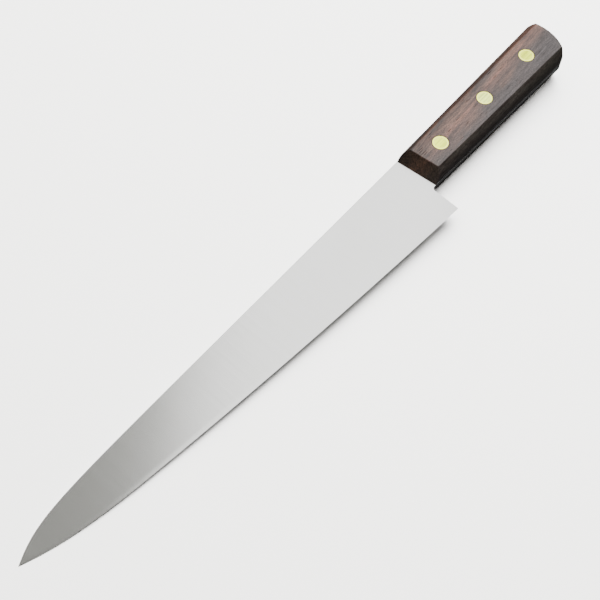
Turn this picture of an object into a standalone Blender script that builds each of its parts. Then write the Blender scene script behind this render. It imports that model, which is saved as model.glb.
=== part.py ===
"""Sujihiki, a Japanese slicing knife with a full tang.

A thin blade and its tang are one piece of steel. Two rosewood scales lie on the tang, and three
brass cutler's rivets, each a socket half and a pin half, draw them together. Nothing moves.

The knife lies on its right side: tip at -X, spine at +Y, left face up. Sizes are in metres. While
it is modelled, X and Y run from the front rivet's axis and Z from the middle of the steel.
"""

import math

import bmesh
import bpy
from mathutils import Matrix, Vector
from mathutils.geometry import interpolate_bezier

# Blade outline
BLADE_LENGTH = 0.2400
HEEL_HEIGHT = 0.03715
HEEL_LEAN = math.radians(0.9)
NECK_LENGTH = 0.00225
CHOIL_RADIUS = 0.0018
EDGE_ANGLE_AT_HEEL = math.radians(3.9)
EDGE_ANGLE_AT_BELLY = math.radians(7.1)
EDGE_ANGLE_AT_TIP = math.radians(22.5)
BELLY_LENGTH = 0.0595
BELLY_START_HEIGHT = 0.02135
SPINE_RISE = math.radians(0.33)
SPINE_DROP_LENGTH = 0.0840
SPINE_DROP_ANGLE = math.radians(27.0)
TIP_DROP = 0.00845

# Blade thickness
STEEL_THICKNESS = 0.0020
DROP_THICKNESS = 0.0016
TIP_THICKNESS = 0.0006
POINT_THICKNESS = 0.0001
POINT_WEDGE = math.radians(3.5)
SHOULDER_THICKNESS = 0.0004
EDGE_BEVEL_HEIGHT = 0.0009
SPINE_EASE = 0.00015
PLUNGE_LENGTH = 0.0120

# Handle
HANDLE_LENGTH = 0.1083
HANDLE_THICKNESS = 0.0160
SPINE_OFFSET_FRONT = 0.0113
SPINE_OFFSET_REAR = 0.0124
BELLY_OFFSET_FRONT = 0.0105
BELLY_OFFSET_REAR = 0.0137
SPINE_SHOULDER_FRONT = 0.0031
SPINE_SHOULDER_REAR = 0.0042
BELLY_SHOULDER_FRONT = 0.0031
BELLY_SHOULDER_REAR = 0.0035
FACET_ANGLE = math.radians(45.0)
FRONT_SLOPE_RUN = 0.0049
FRONT_SKEW = math.radians(3.0)
BUTT_RADIUS = 0.0242
BUTT_APEX_OFFSET = 0.0040
BUTT_CORNER_RADIUS = 0.0025
BUTT_EASE = 0.0005
GLUE_LINE = 0.0003

# Rivets
FRONT_RIVET_SETBACK = 0.0169
REAR_RIVET_SETBACK = 0.0211
RIVET_NAMES = ("front", "middle", "rear")
RIVET_HEAD_DIAMETER = 0.0080
RIVET_HEAD_THICKNESS = 0.0022
RIVET_SHANK_DIAMETER = 0.0050
RIVET_PIN_DIAMETER = 0.0030
RIVET_FIT = 0.0003
RIVET_END_GAP = 0.0004
RIVET_CHAMFER = 0.0003

# Fullness of the curves: how far a curve keeps its direction at each end, over its length
SPINE_CURVE_START = 0.72
SPINE_CURVE_END = 0.20
EDGE_CURVE = 0.33
FACET_CURVE_START = 0.85
FACET_CURVE_END = 1.15

# Limits that keep small features inside thin steel and shallow scales
EASE_LIMIT = 0.4
BEVEL_LIMIT = 0.25
FACET_LIMIT = 0.9

# Edges sharper than these angles stay crisp
BLADE_CREASE = math.radians(10)
SCALE_CREASE = math.radians(20)
RIVET_CREASE = math.radians(30)

# Fineness of the meshes
BELLY_STATIONS = 26
STATION_CROWDING = 1.6
MAIN_STATIONS = 14
CURVE_POINTS = 240
FACE_ROWS = 3
FACET_POINTS = 9
SCALE_STATIONS = 8
ARC_POINTS = 14
EASE_STEPS = 3
ROUND_SEGMENTS = 40
CHOIL_SEGMENTS = 6
MERGE_DISTANCE = 0.00001

# Places that follow from the sizes
FRONT_X = -FRONT_RIVET_SETBACK
BUTT_X = FRONT_X + HANDLE_LENGTH
HEEL_X = FRONT_X - NECK_LENGTH
TIP_X = HEEL_X - BLADE_LENGTH
BELLY_X = TIP_X + BELLY_LENGTH
DROP_X = TIP_X + SPINE_DROP_LENGTH
RIVET_PITCH = (HANDLE_LENGTH - FRONT_RIVET_SETBACK - REAR_RIVET_SETBACK) / (len(RIVET_NAMES) - 1)
TANG_HALF = STEEL_THICKNESS / 2
SCALE_BACK = TANG_HALF + GLUE_LINE
HANDLE_HALF = HANDLE_THICKNESS / 2
SEAT_DEPTH = RIVET_HEAD_THICKNESS + RIVET_FIT
OVERSHOOT = 0.0040


def clear_scene():
    for obj in list(bpy.data.objects):
        bpy.data.objects.remove(obj)


def make_material(name, color, roughness, metallic):
    material = bpy.data.materials.new(name)
    material.use_nodes = True
    shader = material.node_tree.nodes["Principled BSDF"]
    shader.inputs["Base Color"].default_value = (*color, 1.0)
    shader.inputs["Roughness"].default_value = roughness
    shader.inputs["Metallic"].default_value = metallic
    material.diffuse_color = (*color, 1.0)
    return material


def add_object(name, bm):
    """Turn a bmesh into an object whose faces point outwards."""
    bmesh.ops.recalc_face_normals(bm, faces=bm.faces)
    mesh = bpy.data.meshes.new(name)
    bm.to_mesh(mesh)
    bm.free()
    obj = bpy.data.objects.new(name, mesh)
    bpy.context.collection.objects.link(obj)
    return obj


def add_cutter(name, bm):
    obj = add_object(name, bm)
    obj.hide_render = True
    obj.display_type = "WIRE"
    return obj


def cut(obj, cutters):
    for cutter in cutters:
        modifier = obj.modifiers.new(cutter.name, "BOOLEAN")
        modifier.operation = "DIFFERENCE"
        modifier.solver = "EXACT"
        modifier.object = cutter
    graph = bpy.context.evaluated_depsgraph_get()
    mesh = bpy.data.meshes.new_from_object(obj.evaluated_get(graph))
    obj.modifiers.clear()
    obj.data = mesh


def dress(obj, material, crease_angle):
    """Shade a finished piece smooth between its creases."""
    obj.data.materials.append(material)
    obj.data.shade_smooth()
    obj.data.set_sharp_from_angle(angle=crease_angle)


def blend(start, end, share):
    return start + (end - start) * share


def smooth_step(share):
    share = min(max(share, 0.0), 1.0)
    return share * share * (3 - 2 * share)


# Outlines that the blade, the tang and the scales share

def handle_share(x):
    return (x - FRONT_X) / HANDLE_LENGTH


def handle_spine(x):
    return blend(SPINE_OFFSET_FRONT, SPINE_OFFSET_REAR, handle_share(x))


def handle_belly(x):
    return -blend(BELLY_OFFSET_FRONT, BELLY_OFFSET_REAR, handle_share(x))


def blade_spine_line(x):
    """The straight part of the spine, carried on towards the tip."""
    return SPINE_OFFSET_FRONT + (FRONT_X - x) * math.tan(SPINE_RISE)


def curve_between(start, start_angle, end, end_angle, start_pull, end_pull):
    """Points of a curve that runs towards the tip; the angles are upward from -X."""
    reach = (end - start).length
    start_handle = start + start_pull * reach * Vector((-math.cos(start_angle), math.sin(start_angle)))
    end_handle = end - end_pull * reach * Vector((-math.cos(end_angle), math.sin(end_angle)))
    return interpolate_bezier(start, start_handle, end_handle, end, CURVE_POINTS)


def blade_outline():
    """The spine's and the edge's points, from the handle and the heel to the tip."""
    tip = Vector((TIP_X, blade_spine_line(TIP_X) - TIP_DROP))
    heel = Vector((HEEL_X, blade_spine_line(HEEL_X) - HEEL_HEIGHT))
    belly = Vector((BELLY_X, blade_spine_line(BELLY_X) - BELLY_START_HEIGHT))
    drop = Vector((DROP_X, blade_spine_line(DROP_X)))
    neck = Vector((FRONT_X, SPINE_OFFSET_FRONT))
    spine = [neck]
    spine += curve_between(drop, SPINE_RISE, tip, -SPINE_DROP_ANGLE, SPINE_CURVE_START, SPINE_CURVE_END)
    edge = curve_between(heel, EDGE_ANGLE_AT_HEEL, belly, EDGE_ANGLE_AT_BELLY, EDGE_CURVE, EDGE_CURVE)
    edge += curve_between(belly, EDGE_ANGLE_AT_BELLY, tip, EDGE_ANGLE_AT_TIP, EDGE_CURVE, EDGE_CURVE)[1:]
    return spine, edge


def height_at(points, x):
    """The height of an outline at x; its points run towards -X."""
    for near, far in zip(points, points[1:]):
        if far.x <= x <= near.x and far.x < near.x:
            return blend(near.y, far.y, (near.x - x) / (near.x - far.x))
    return points[0].y if x > points[0].x else points[-1].y


# Blade and tang

def blade_stations():
    """Places of the blade's cross-sections, closer together towards the tip."""
    stations = []
    for i in range(1, BELLY_STATIONS):
        stations.append(TIP_X + BELLY_LENGTH * (i / BELLY_STATIONS) ** STATION_CROWDING)
    for i in range(MAIN_STATIONS + 1):
        stations.append(blend(BELLY_X, HEEL_X, i / MAIN_STATIONS))
    return stations


def spine_half(x, height):
    """Half the steel's thickness at the spine, which thins faster past the start of its drop."""
    if x > DROP_X:
        taper = blend(DROP_THICKNESS, STEEL_THICKNESS, (x - DROP_X) / (HEEL_X - DROP_X)) / 2
    else:
        taper = blend(TIP_THICKNESS, DROP_THICKNESS, (x - TIP_X) / SPINE_DROP_LENGTH) / 2
    point = POINT_THICKNESS / 2 + height * math.tan(POINT_WEDGE)
    return min(taper, point)


def face_half(x, top_half, share, tang_row):
    """Half the thickness of the flat-ground face, at a share of its height below the spine.

    Close to the heel the face rises to the tang's full thickness above the tang's lower line.
    """
    edge_half = min(SHOULDER_THICKNESS / 2, top_half)
    ground = blend(top_half, edge_half, share)
    unground = TANG_HALF
    if share > tang_row:
        unground = blend(TANG_HALF, edge_half, (share - tang_row) / (1 - tang_row))
    return blend(ground, unground, smooth_step(1 - (HEEL_X - x) / PLUNGE_LENGTH))


def blade_section(x, spine, edge, tang_row):
    """One cross-section of the blade: down its left side to the edge, then up its right side."""
    top, bottom = height_at(spine, x), height_at(edge, x)
    height = top - bottom
    top_half = spine_half(x, height)
    ease = min(SPINE_EASE, EASE_LIMIT * top_half)
    shoulder = bottom + min(EDGE_BEVEL_HEIGHT, BEVEL_LIMIT * height)
    rows = [tang_row * i / FACE_ROWS for i in range(FACE_ROWS + 1)]
    rows += [blend(tang_row, 1.0, (i + 1) / FACE_ROWS) for i in range(FACE_ROWS)]
    left = [(top, top_half - ease)]
    left += [(blend(top - ease, shoulder, row), face_half(x, top_half, row, tang_row)) for row in rows]
    right = [(y, -z) for y, z in reversed(left)]
    return [Vector((x, y, z)) for y, z in left + [(bottom, 0.0)] + right]


def make_blade(material, cutters):
    spine, edge = blade_outline()
    heel_bottom = height_at(edge, HEEL_X)
    ground_height = height_at(spine, HEEL_X) - SPINE_EASE - heel_bottom - EDGE_BEVEL_HEIGHT
    tang_row = (height_at(spine, HEEL_X) - SPINE_EASE - handle_belly(HEEL_X)) / ground_height
    bm = bmesh.new()

    # The blade is lofted through its sections and closed at the tip in one point
    loops = []
    for x in blade_stations():
        verts = [bm.verts.new(point) for point in blade_section(x, spine, edge, tang_row)]
        edges = [bm.edges.new((a, b)) for a, b in zip(verts, verts[1:] + verts[:1])]
        loops.append((verts, edges))
    for (_, near), (_, far) in zip(loops, loops[1:]):
        bmesh.ops.bridge_loops(bm, edges=near + far)
    tip_face = bm.faces.new(loops[0][0])
    tip = bm.verts.new((TIP_X, edge[-1].y, 0.0))
    for a, b in zip(loops[0][0], loops[0][0][1:] + loops[0][0][:1]):
        bm.faces.new((a, b, tip))
    bmesh.ops.delete(bm, geom=[tip_face], context="FACES_ONLY")

    # The heel's end is two faces: the lower is the heel, and the upper is drawn out into the tang
    end = loops[-1][0]
    for vert in end:
        vert.co.x += (vert.co.y - heel_bottom) * math.tan(HEEL_LEAN)
    last = len(end) - 1
    tang_index = FACE_ROWS + 1
    upper = end[: tang_index + 1] + end[last - tang_index :]
    bm.faces.new(end[tang_index : last - tang_index + 1])
    tang_end = bm.faces.new(upper)
    choil = bm.edges.get((end[tang_index], end[last - tang_index]))
    top, bottom = end[0].co.y, end[tang_index].co.y
    for x in (FRONT_X + NECK_LENGTH, BUTT_X + OVERSHOOT):
        drawn = bmesh.ops.extrude_discrete_faces(bm, faces=[tang_end])
        tang_end = drawn["faces"][0]
        for vert in tang_end.verts:
            share = (vert.co.y - bottom) / (top - bottom)
            vert.co = (x, blend(handle_belly(x), handle_spine(x), share), vert.co.z)
        top, bottom = handle_spine(x), handle_belly(x)
    bmesh.ops.bevel(
        bm,
        geom=[choil],
        affect="EDGES",
        offset=CHOIL_RADIUS,
        segments=CHOIL_SEGMENTS,
        profile=0.5,
        material=-1,
    )
    blade = add_object("blade", bm)
    cut(blade, cutters)
    dress(blade, material, BLADE_CREASE)
    return blade


# Scales

def facet_profile(width, depth):
    """From the flat's edge outwards and down: a facet that rounds into the side."""
    drop = width * math.tan(FACET_ANGLE)
    start, end = Vector((0.0, 0.0)), Vector((width, depth))
    facet = FACET_CURVE_START * Vector((width, drop))
    side = Vector((width, min(FACET_CURVE_END * drop, FACET_LIMIT * depth)))
    return interpolate_bezier(start, facet, side, end, FACET_POINTS)


def scale_section(x):
    """The left scale's cross-section: over the spine side, the flat and the belly side."""
    share = handle_share(x)
    depth = HANDLE_HALF - SCALE_BACK
    spine_width = blend(SPINE_SHOULDER_FRONT, SPINE_SHOULDER_REAR, share)
    belly_width = blend(BELLY_SHOULDER_FRONT, BELLY_SHOULDER_REAR, share)
    flat_spine = handle_spine(x) - spine_width
    flat_belly = handle_belly(x) + belly_width
    spine_side = facet_profile(spine_width, depth)
    belly_side = facet_profile(belly_width, depth)
    points = [(flat_spine + out, HANDLE_HALF - down) for out, down in reversed(spine_side)]
    points += [(flat_belly - out, HANDLE_HALF - down) for out, down in belly_side]
    return [Vector((x, y, z)) for y, z in points]


def make_scale(name, side, material, cutters):
    """A scale on the +Z side, or its mirror image on the -Z side."""
    bm = bmesh.new()
    start = FRONT_X - NECK_LENGTH - OVERSHOOT
    loops = []
    for i in range(SCALE_STATIONS + 1):
        x = blend(start, BUTT_X + OVERSHOOT, i / SCALE_STATIONS)
        verts = [bm.verts.new(point) for point in scale_section(x)]
        edges = [bm.edges.new((a, b)) for a, b in zip(verts, verts[1:] + verts[:1])]
        loops.append((verts, edges))
    for (_, near), (_, far) in zip(loops, loops[1:]):
        bmesh.ops.bridge_loops(bm, edges=near + far)
    for verts, _ in (loops[0], loops[-1]):
        bm.faces.new(verts)

    # The front slopes down from the flat to the steel, a little askew to the rivet line
    foot = Vector((FRONT_X, 0.0, SCALE_BACK))
    head = Vector((FRONT_X + FRONT_SLOPE_RUN, 0.0, HANDLE_HALF))
    across = Vector((-math.sin(FRONT_SKEW), math.cos(FRONT_SKEW), 0.0))
    bmesh.ops.bisect_plane(
        bm,
        geom=bm.verts[:] + bm.edges[:] + bm.faces[:],
        plane_co=foot,
        plane_no=across.cross(head - foot).normalized(),
        clear_inner=True,
    )
    bmesh.ops.holes_fill(bm, edges=[e for e in bm.edges if e.is_boundary])
    if side < 0:
        bmesh.ops.scale(bm, vec=(1, 1, -1), verts=bm.verts)
    scale = add_object(name, bm)
    cut(scale, cutters)
    dress(scale, material, SCALE_CREASE)
    return scale


# Cutters

def arc(centre, radius, start, end, count):
    points = []
    for i in range(count):
        angle = blend(start, end, i / (count - 1))
        points.append(centre + radius * Vector((math.cos(angle), math.sin(angle))))
    return points


def butt_corner(side):
    """Centre and angles of the arc that rounds the butt's arc into one side of the handle."""
    butt_centre = Vector((BUTT_X - BUTT_RADIUS, BUTT_APEX_OFFSET))
    line = handle_spine if side > 0 else handle_belly
    run = Vector((HANDLE_LENGTH, line(BUTT_X) - line(FRONT_X))).normalized()
    inward = Vector((run.y, -run.x)) * side
    base = Vector((FRONT_X, line(FRONT_X))) + inward * BUTT_CORNER_RADIUS
    # Where the offset side line meets the circle that touches the butt's arc from inside
    gap = base - butt_centre
    reach = BUTT_RADIUS - BUTT_CORNER_RADIUS
    along = gap.dot(run)
    centre = base + run * (-along + math.sqrt(along * along - gap.dot(gap) + reach * reach))
    outward = -inward
    towards_butt = (centre - butt_centre).normalized()
    return centre, math.atan2(towards_butt.y, towards_butt.x), math.atan2(outward.y, outward.x)


def butt_outline(inset):
    """The inner wall of the butt's cutter in plan, drawn in by an inset, and the block behind it."""
    butt_centre = Vector((BUTT_X - BUTT_RADIUS, BUTT_APEX_OFFSET))
    spine_centre, spine_from, spine_to = butt_corner(1)
    belly_centre, belly_from, belly_to = butt_corner(-1)
    corner, radius = BUTT_CORNER_RADIUS - inset, BUTT_RADIUS - inset
    outline = arc(belly_centre, corner, belly_to, belly_from, ARC_POINTS // 2)
    outline += arc(butt_centre, radius, belly_from, spine_from, ARC_POINTS)[1:]
    outline += arc(spine_centre, corner, spine_from, spine_to, ARC_POINTS // 2)[1:]
    first, last = outline[0], outline[-1]
    back = BUTT_X + 2 * OVERSHOOT
    outline += [
        Vector((last.x, last.y + OVERSHOOT)),
        Vector((back, last.y + OVERSHOOT)),
        Vector((back, first.y - OVERSHOOT)),
        Vector((first.x, first.y - OVERSHOOT)),
    ]
    return outline


def make_butt_cutter():
    """A block behind the handle; its inner wall rounds the butt off, and eases it at the flats."""
    layers = [(HANDLE_HALF + OVERSHOOT, BUTT_EASE)]
    for i in range(EASE_STEPS + 1):
        angle = math.pi / 2 * i / EASE_STEPS
        height = HANDLE_HALF - BUTT_EASE * (1 - math.cos(angle))
        layers.append((height, BUTT_EASE * (1 - math.sin(angle))))
    layers += [(-height, inset) for height, inset in reversed(layers)]
    bm = bmesh.new()
    loops = []
    for height, inset in layers:
        verts = [bm.verts.new((point.x, point.y, height)) for point in butt_outline(inset)]
        loops.append((verts, [bm.edges.new((a, b)) for a, b in zip(verts, verts[1:] + verts[:1])]))
    for (_, near), (_, far) in zip(loops, loops[1:]):
        bmesh.ops.bridge_loops(bm, edges=near + far)
    for verts, _ in (loops[0], loops[-1]):
        bm.faces.new(verts)
    return add_cutter("butt_cutter", bm)


def revolve(profile):
    """Spin a profile of (radius, height) points, which starts and ends on the axis, about Z."""
    bm = bmesh.new()
    verts = [bm.verts.new((radius, 0.0, height)) for radius, height in profile]
    edges = [bm.edges.new((a, b)) for a, b in zip(verts, verts[1:])]
    bmesh.ops.spin(
        bm,
        geom=verts + edges,
        cent=(0, 0, 0),
        axis=(0, 0, 1),
        angle=math.tau,
        steps=ROUND_SEGMENTS,
        use_merge=True,
    )
    bmesh.ops.remove_doubles(bm, verts=bm.verts, dist=MERGE_DISTANCE)
    return bm


def rivet_places():
    return [(name, RIVET_PITCH * i) for i, name in enumerate(RIVET_NAMES)]


def make_seat_cutter():
    """For each rivet, a through hole with a seat for a head at both ends."""
    head = RIVET_HEAD_DIAMETER / 2 + RIVET_FIT
    shank = RIVET_SHANK_DIAMETER / 2 + RIVET_FIT
    seat = HANDLE_HALF - SEAT_DEPTH
    top = HANDLE_HALF + OVERSHOOT
    profile = [(0.0, -top), (head, -top), (head, -seat), (shank, -seat)]
    profile += [(radius, -height) for radius, height in reversed(profile)]
    seats = bmesh.new()
    for _, x in rivet_places():
        seat_bm = revolve(profile)
        bmesh.ops.translate(seat_bm, verts=seat_bm.verts, vec=(x, 0, 0))
        mesh = bpy.data.meshes.new("seat")
        seat_bm.to_mesh(mesh)
        seat_bm.free()
        seats.from_mesh(mesh)
        bpy.data.meshes.remove(mesh)
    return add_cutter("rivet_seat_cutter", seats)


# Rivets

def socket_profile():
    """The half with a drilled shank; its head lies flush with the left scale."""
    head, shank = RIVET_HEAD_DIAMETER / 2, RIVET_SHANK_DIAMETER / 2
    bore = RIVET_PIN_DIAMETER / 2 + RIVET_FIT
    under_head = HANDLE_HALF - RIVET_HEAD_THICKNESS
    shank_end = RIVET_END_GAP - under_head
    return [
        (0.0, under_head),
        (bore, under_head - bore),
        (bore, shank_end),
        (shank - RIVET_CHAMFER, shank_end),
        (shank, shank_end + RIVET_CHAMFER),
        (shank, under_head),
        (head, under_head),
        (head, HANDLE_HALF),
        (0.0, HANDLE_HALF),
    ]


def pin_profile():
    """The half with a solid pin; its head lies flush with the right scale."""
    head, pin = RIVET_HEAD_DIAMETER / 2, RIVET_PIN_DIAMETER / 2
    under_head = HANDLE_HALF - RIVET_HEAD_THICKNESS
    pin_end = under_head - pin - RIVET_FIT - RIVET_END_GAP
    return [
        (0.0, -HANDLE_HALF),
        (head, -HANDLE_HALF),
        (head, -under_head),
        (pin, -under_head),
        (pin, pin_end - RIVET_CHAMFER),
        (pin - RIVET_CHAMFER, pin_end),
        (0.0, pin_end),
    ]


def make_rivets(material):
    halves = []
    for half, profile in (("socket", socket_profile()), ("pin", pin_profile())):
        for place, x in rivet_places():
            rivet = add_object(f"{place}_rivet_{half}", revolve(profile))
            rivet.location = (x, 0, 0)
            dress(rivet, material, RIVET_CREASE)
            halves.append(rivet)
    return halves


def stand_on_origin(pieces):
    """Parent the pieces to an empty, so that the knife's box is centred over the origin."""
    bpy.context.view_layer.update()
    corners = [piece.matrix_world @ vert.co for piece in pieces for vert in piece.data.vertices]
    low = Vector([min(corner[i] for corner in corners) for i in range(3)])
    high = Vector([max(corner[i] for corner in corners) for i in range(3)])
    knife = bpy.data.objects.new("knife", None)
    bpy.context.collection.objects.link(knife)
    knife.matrix_world = Matrix.Translation((-(low.x + high.x) / 2, -(low.y + high.y) / 2, -low.z))
    for obj in pieces:
        obj.parent = knife


def main():
    clear_scene()
    steel = make_material("brushed steel", (0.60, 0.60, 0.59), 0.32, 1.0)
    wood = make_material("oiled rosewood", (0.105, 0.060, 0.047), 0.42, 0.0)
    brass = make_material("brass", (0.78, 0.66, 0.36), 0.30, 1.0)

    cutters = [make_butt_cutter(), make_seat_cutter()]
    blade = make_blade(steel, cutters)
    left = make_scale("left_scale", 1, wood, cutters)
    right = make_scale("right_scale", -1, wood, cutters)
    rivets = make_rivets(brass)
    for cutter in cutters:
        bpy.data.objects.remove(cutter)
    stand_on_origin([blade, left, right, *rivets])


main()
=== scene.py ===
import logging
import math
from collections.abc import Iterable
from dataclasses import dataclass, field
from enum import Enum
from functools import reduce
from typing import ClassVar

import bmesh
import bpy
from mathutils import Matrix, Vector
from mathutils.geometry import interpolate_bezier


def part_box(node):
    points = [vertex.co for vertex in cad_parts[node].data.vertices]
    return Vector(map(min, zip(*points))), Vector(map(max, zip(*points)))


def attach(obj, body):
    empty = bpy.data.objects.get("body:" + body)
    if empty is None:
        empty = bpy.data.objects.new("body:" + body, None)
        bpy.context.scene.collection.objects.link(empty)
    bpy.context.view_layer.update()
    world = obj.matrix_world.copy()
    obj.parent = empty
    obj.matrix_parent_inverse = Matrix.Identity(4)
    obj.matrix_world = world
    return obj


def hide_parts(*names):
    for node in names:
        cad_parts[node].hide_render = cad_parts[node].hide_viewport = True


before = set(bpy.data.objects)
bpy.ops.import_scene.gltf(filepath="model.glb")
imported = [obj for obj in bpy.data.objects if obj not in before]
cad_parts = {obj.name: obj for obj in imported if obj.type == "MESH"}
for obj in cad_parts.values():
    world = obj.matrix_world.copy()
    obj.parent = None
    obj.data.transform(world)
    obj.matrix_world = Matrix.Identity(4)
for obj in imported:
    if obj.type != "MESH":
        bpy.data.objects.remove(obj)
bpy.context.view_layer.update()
WELD = 1e-6

LOG = logging.getLogger("sujihiki")

Mesh = bmesh.types.BMesh
Verts = list[bmesh.types.BMVert]
Object = bpy.types.Object
Socket = bpy.types.NodeSocket
Sockets = dict[str, Socket]
Point = tuple[float, float]
Color = tuple[float, float, float]
# A span is the two ends of a range. A band is a span, and the values that its ends turn into.
Span = tuple[float, float]
Band = tuple[float, float, float, float]


def lerp(start: float, end: float, share: float) -> float:
    """Go a share of the way from one number to another."""
    return start + (end - start) * share


def smooth_step(share: float) -> float:
    """Ease a share in and out, and hold it from 0 to 1."""
    share = min(max(share, 0.0), 1.0)
    return share * share * (3 - 2 * share)


def shares(count: int) -> list[float]:
    """Divide a whole into steps: count + 1 numbers from 0 to 1."""
    return [i / count for i in range(count + 1)]


# Mesh work that the pieces share


def loft(bm: Mesh, rings: Iterable[Iterable[Vector]], capped: bool = False) -> list[Verts]:
    """Bridge closed rings of points, each to the next.

    Args:
        bm: The mesh that gets the skin.
        rings: The points of each ring, with the same count in all.
        capped: Whether the first and the last ring are closed.

    Returns:
        The vertices of each ring.
    """
    loops = []
    for ring in rings:
        verts = [bm.verts.new(point) for point in ring]
        edges = [bm.edges.new(pair) for pair in zip(verts, verts[1:] + verts[:1])]
        loops.append((verts, edges))
    for (_, near), (_, far) in zip(loops, loops[1:]):
        bmesh.ops.bridge_loops(bm, edges=near + far)
    if capped:
        for verts, _ in (loops[0], loops[-1]):
            bm.faces.new(verts)
    return [verts for verts, _ in loops]


def revolve(profile: list[Point], segments: int) -> Mesh:
    """Turn a profile about Z.

    Args:
        profile: (radius, height) points, which start and end on the axis.
        segments: The steps of the full turn.

    Returns:
        The turned mesh, closed at both poles.
    """
    bm = bmesh.new()
    verts = [bm.verts.new((radius, 0.0, height)) for radius, height in profile]
    edges = [bm.edges.new(pair) for pair in zip(verts, verts[1:])]
    bmesh.ops.spin(bm, geom=verts + edges, cent=(0, 0, 0), axis=(0, 0, 1), angle=math.tau,
                   steps=segments, use_merge=True)
    bmesh.ops.remove_doubles(bm, verts=bm.verts, dist=WELD)
    bmesh.ops.recalc_face_normals(bm, faces=bm.faces)
    return bm


def arc(centre: Vector, radius: float, start: float, end: float, steps: int) -> list[Vector]:
    """Find steps + 1 points along an arc in a plane, from a start angle to an end angle."""
    angles = [lerp(start, end, share) for share in shares(steps)]
    return [centre + radius * Vector((math.cos(angle), math.sin(angle))) for angle in angles]


def make_object(name: str, bm: Mesh) -> Object:
    """Turn a bmesh into an object in the scene.

    Args:
        name: The object's name.
        bm: The mesh, which is freed.

    Returns:
        The new object, at the origin.
    """
    mesh = bpy.data.meshes.new(name)
    bm.to_mesh(mesh)
    bm.free()
    piece = bpy.data.objects.new(name, mesh)
    bpy.context.collection.objects.link(piece)
    return piece


def carve(piece: Object, cutters: Iterable[Object]) -> None:
    """Cut a piece and keep the cut mesh.

    Args:
        piece: The object that is cut.
        cutters: Closed objects that are taken away from it.
    """
    for cutter in cutters:
        modifier = piece.modifiers.new(cutter.name, "BOOLEAN")
        modifier.operation = "DIFFERENCE"
        modifier.solver = "EXACT"
        modifier.object = cutter
    graph = bpy.context.evaluated_depsgraph_get()
    mesh = bpy.data.meshes.new_from_object(piece.evaluated_get(graph))
    piece.modifiers.clear()
    piece.data = mesh


def shade(piece: Object, crease_angle: float) -> None:
    """Shade a piece smooth between its creases, with its broad faces left flat.

    Args:
        piece: The object.
        crease_angle: Edges sharper than this stay crisp.
    """
    piece.data.shade_smooth()
    piece.data.set_sharp_from_angle(angle=crease_angle)
    modifier = piece.modifiers.new("broad faces rule the shading", "WEIGHTED_NORMAL")
    modifier.weight = 100
    modifier.keep_sharp = True


# The knife's own lines


@dataclass(frozen=True)
class Datum:
    """Where the knife lies in the frame.

    Its own axes run from the front rivet's axis in X and Y, and from the middle of the steel in Z.
    The pieces stay a hair's inset inside the solids' box.
    """

    origin: Vector
    half_handle: float
    half_steel: float
    tip_x: float
    butt_x: float
    rivet_places: dict[str, float]
    inset: ClassVar[float] = 0.000001

    @classmethod
    def from_frame(cls) -> "Datum":
        """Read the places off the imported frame.

        Returns:
            The datum that every piece is built from.
        """
        low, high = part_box("blade")
        heads = {name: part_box(f"{name}_rivet_socket") for name in ("front", "middle", "rear")}
        centres = {name: (box[0] + box[1]) / 2 for name, box in heads.items()}
        origin = Vector((centres["front"].x, centres["front"].y, (low.z + high.z) / 2))
        return cls(
            origin=origin,
            half_handle=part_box("left_scale")[1].z - origin.z - cls.inset,
            half_steel=(high.z - low.z) / 2,
            tip_x=low.x - origin.x,
            butt_x=high.x - origin.x,
            rivet_places={name: centre.x - origin.x for name, centre in centres.items()},
        )


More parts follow.
